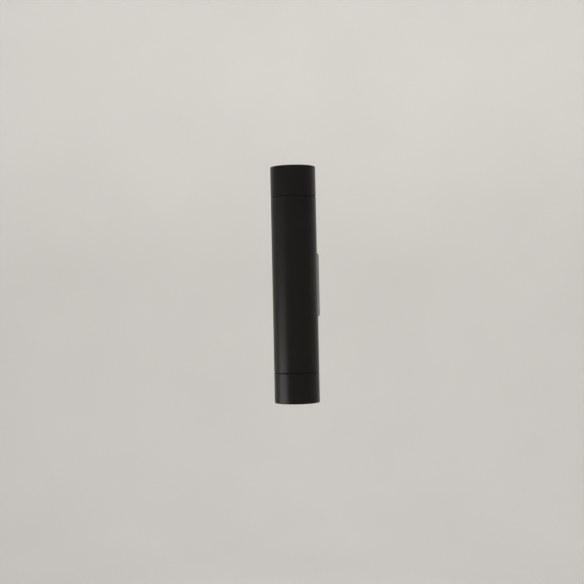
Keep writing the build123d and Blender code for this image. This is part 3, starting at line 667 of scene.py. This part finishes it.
seats = {  # where the heads sit
    "boxDeep": -0.009, "boxHigh": 0.042, "tubeDeep": -0.0246, "tubeHigh": 0.014,
    "holderOut": 0.010, "holderHigh": 0.08735,
    "clampOut": 0.0095, "clampDeep": -0.0115, "clampHigh": (-0.015, -0.023),
    "fixingOut": 0.00475, "fixingDeep": -0.0121, "fixingHigh": -0.019, "earth": (0.015, -0.0023, 0.024),
}
screwPlaces = {  # kind, slot, places
    "box_screws": ("sunk", "black_screw", [
        at(0, seats["boxDeep"], seats["boxHigh"], "up"), at(0, seats["boxDeep"], -seats["boxHigh"], "down")]),
    "tube_screws": ("pan4", "bright_screw", [
        at(0, seats["tubeDeep"], side * seats["tubeHigh"], "wall") for side in (1, -1)]),
    "holder_screws": ("pan3", "bright_screw", [
        endPlace[end] @ at(0, side * seats["holderOut"], seats["holderHigh"], "up")
        for end in endPlace for side in (1, -1)]),
    "terminal_screws": ("clamp", "bright_screw", [
        at(side * seats["clampOut"], seats["clampDeep"], height, "room")
        for side in (-1, 0, 1) for height in seats["clampHigh"]]),
    "terminal_fixings": ("fixing", "bright_screw", [
        at(side * seats["fixingOut"], seats["fixingDeep"], seats["fixingHigh"], "room") for side in (1, -1)]),
    "earth_screw": ("earth", "brass", [at(*seats["earth"], "room")]),
}
for node, (kind, slotName, places) in screwPlaces.items():
    mesh = gather(node + "Cut", makeScrew(screws[kind]), places)
    addPiece(node + "_cut", mesh, slotName, "fixture", node)
print("screws cut:", sum(len(places) for kind, slotName, places in screwPlaces.values()))

wires = {
    "radius": 0.0011, "sides": 14, "resolution": 20,
    "pin": 0.005, "contact": 0.08075, "turnHigh": 0.016, "bundle": 0.0017,
    "tubeTurn": 0.03825, "boxTurn": 0.019, "drop": 0.0012,
    "pole": 0.0095, "pair": 0.00125, "poleDeep": 0.008, "poleTop": -0.011,
    "earth": [
        (0.0095, -0.008, -0.011), (0.0095, -0.008, 0.003), (0.015, -0.0032, 0.008), (0.015, -0.0032, 0.0145)],
}


def lampRoute(side, pinSide, pole):  # from a lampholder's contact, through the bush, to the terminal block
    size = wires
    return [
        (pinSide * size["pin"], axisY, side * size["contact"]),
        (pinSide * size["pin"], axisY, side * size["turnHigh"]),
        (pinSide * size["bundle"], -size["tubeTurn"], side * size["bundle"]),
        (pinSide * size["bundle"], -size["boxTurn"], side * size["bundle"]),
        (pole, -size["poleDeep"], side * size["drop"]),
        (pole, -size["poleDeep"], size["poleTop"]),
    ]


def wireLine(route):  # points of a smooth spline that the route controls
    curve = bpy.data.curves.new("wireLine", "CURVE")
    curve.dimensions = "3D"
    spline = curve.splines.new("NURBS")
    spline.points.add(len(route) - 1)
    for point, spot in zip(spline.points, route):
        point.co = (*spot, 1)
    spline.order_u = 3
    spline.use_endpoint_u = True
    spline.resolution_u = wires["resolution"]
    holder = bpy.data.objects.new("wireLine", curve)
    bpy.context.scene.collection.objects.link(holder)
    mesh = bpy.data.meshes.new_from_object(holder.evaluated_get(bpy.context.evaluated_depsgraph_get()))
    line = [vert.co.copy() for vert in mesh.vertices]
    bpy.data.objects.remove(holder)
    return line


def wireRings(shape, line):  # each ring with its distance along the wire, in girths
    radius, sides = wires["radius"], wires["sides"]
    rings = []
    length = 0.0
    side = (line[1] - line[0]).orthogonal().normalized()
    for spot, point in enumerate(line):
        before, after = line[max(spot - 1, 0)], line[min(spot + 1, len(line) - 1)]
        length += (point - before).length
        ahead = (after - before).normalized()
        side = (side - ahead * side.dot(ahead)).normalized()
        across = ahead.cross(side)
        ring = []
        for step in range(sides):
            angle = 2 * math.pi * step / sides
            ring.append(shape.verts.new(point + (side * math.cos(angle) + across * math.sin(angle)) * radius))
        rings.append((ring, length / (2 * math.pi * radius)))
    return rings


def makeWires(name, routes, slotName, node):
    sides = wires["sides"]
    shape = bmesh.new()
    runs = shape.loops.layers.uv.new("run")
    for route in routes:
        rings = wireRings(shape, wireLine(route))
        for (low, lowRun), (high, highRun) in zip(rings, rings[1:]):
            for step in range(sides):
                after = (step + 1) % sides
                face = shape.faces.new((low[step], low[after], high[after], high[step]))
                left, right = step / sides, (step + 1) / sides
                spots = (left, lowRun), (right, lowRun), (right, highRun), (left, highRun)
                for loop, spot in zip(face.loops, spots):
                    loop[runs].uv = spot
        shape.faces.new(rings[0][0][::-1])
        shape.faces.new(rings[-1][0])
    addPiece(name, meshOf(name + "Mesh", shape), slotName, "fixture", node)


pole, pair = wires["pole"], wires["pair"]
upperRoutes = [lampRoute(1, -1, -pole - pair), lampRoute(1, 1, pair)]
lowerRoutes = [lampRoute(-1, -1, pair - pole), lampRoute(-1, 1, -pair)]
makeWires("upper_leads", upperRoutes, "lead_sleeve", "upper_lamp_wires")
makeWires("lower_leads", lowerRoutes, "lead_sleeve", "lower_lamp_wires")
makeWires("earth_lead", [wires["earth"]], "earth_sleeve", "earth_wire")
print("wires laid")

studio = {
    "floor": -0.80, "middle": 0.02, "flat": 0.8, "reach": 2.7, "cove": 0.9, "coveSteps": 24, "top": 2.0,
    "steps": 96,
    "paint": (0.74, 0.73, 0.715, 1), "shade": (0.68, 0.67, 0.655, 1), "rough": 0.9,
    "cloud": 0.35, "stipple": 0.004, "stippleDepth": 0.00005,
}


def makeStudio():  # a round bowl, so that every side has a plain ground
    size = studio
    profile = [(size["middle"], size["floor"]), (size["flat"], size["floor"])]
    profile += arc(
        size["reach"] - size["cove"], size["floor"] + size["cove"], size["cove"], -90, 0, size["coveSteps"])
    profile.append((size["reach"], size["top"]))
    shape = bmesh.new()
    rings = spin(shape, profile, size["steps"])
    shape.faces.remove(shape.faces.get(rings[-1]))  # open above
    floor = bpy.data.objects.new("studioFloor", meshOf("studioFloor", shape))
    material, shader, place = startMaterial("palePaint", Roughness=size["rough"])
    place.noise(size["cloud"], detail=4).tint(size["paint"], size["shade"]).feed(shader.inputs["Base Color"])
    place.noise(size["stipple"]).bump(shader, size["stippleDepth"])
    floor.data.materials.append(material)
    bpy.context.scene.collection.objects.link(floor)


makeStudio()

lights = {  # place, aim, width, height, watts, colour
    "keyLeft": ((-1.60, -0.68, -0.52), (0, -0.056, -0.06), 1.5, 0.74, 10.5, (1.0, 0.97, 0.93)),
    "backWash": ((0.0, 0.75, 1.55), (0, 2.4, -0.2), 2.4, 0.6, 34, (1.0, 0.98, 0.95)),
    "frontWash": ((0.0, -0.75, 1.55), (0, -2.4, -0.2), 2.4, 0.6, 8, (1.0, 0.98, 0.95)),
    "topSoft": ((0.4, -0.6, 1.9), (0, -0.05, 0), 1.6, 1.6, 6, (1.0, 0.98, 0.96)),
}
for name, (spot, aim, wide, high, watts, colour) in lights.items():
    light = bpy.data.lights.new(name, "AREA")
    light.shape, light.size, light.size_y = "RECTANGLE", wide, high
    light.energy, light.color = watts, colour
    lamp = bpy.data.objects.new(name, light)
    lamp.location = spot
    lamp.rotation_mode = "QUATERNION"
    lamp.rotation_quaternion = (Vector(aim) - Vector(spot)).to_track_quat("-Z", "Y")
    lamp.visible_camera = False
    bpy.context.scene.collection.objects.link(lamp)

roomLight = {"colour": (1.0, 0.985, 0.965, 1), "cast": 0.16, "seen": 0.46}  # its light, its look
world = bpy.data.worlds.new("softRoom")
world.use_nodes = True
room = world.node_tree.nodes["Background"]
room.inputs["Color"].default_value = roomLight["colour"]
rays = Signal(world.node_tree)
cameraRay, glossyRay, throughRay = (
    rays.node("ShaderNodeLightPath", out=f"Is {kind} Ray") for kind in ("Camera", "Glossy", "Transmission"))
seenRay = rays.calc("MINIMUM", cameraRay + glossyRay + throughRay, 1.0)
(roomLight["cast"] + seenRay * (roomLight["seen"] - roomLight["cast"])).feed(room.inputs["Strength"])
bpy.context.scene.world = world
bpy.context.scene.view_settings.view_transform = "Standard"
print("studio set")

shot = {  # angles in degrees
    "eye": (0.1452, -1.4856, -0.0175), "turn": 5.96, "rise": 0.33, "roll": -1.17,
    "lens": 69.5, "clip": (0.01, 50),
}
cameraData = bpy.data.cameras.new("photoCamera")
cameraData.lens = shot["lens"]
cameraData.clip_start, cameraData.clip_end = shot["clip"]
camera = bpy.data.objects.new("photoCamera", cameraData)
camera.matrix_world = (
    Matrix.Translation(shot["eye"]) @ Matrix.Rotation(math.radians(shot["turn"]), 4, "Z")
    @ Matrix.Rotation(math.radians(90 + shot["rise"]), 4, "X")
    @ Matrix.Rotation(math.radians(shot["roll"]), 4, "Z")
)
bpy.context.scene.collection.objects.link(camera)
bpy.context.scene.camera = camera
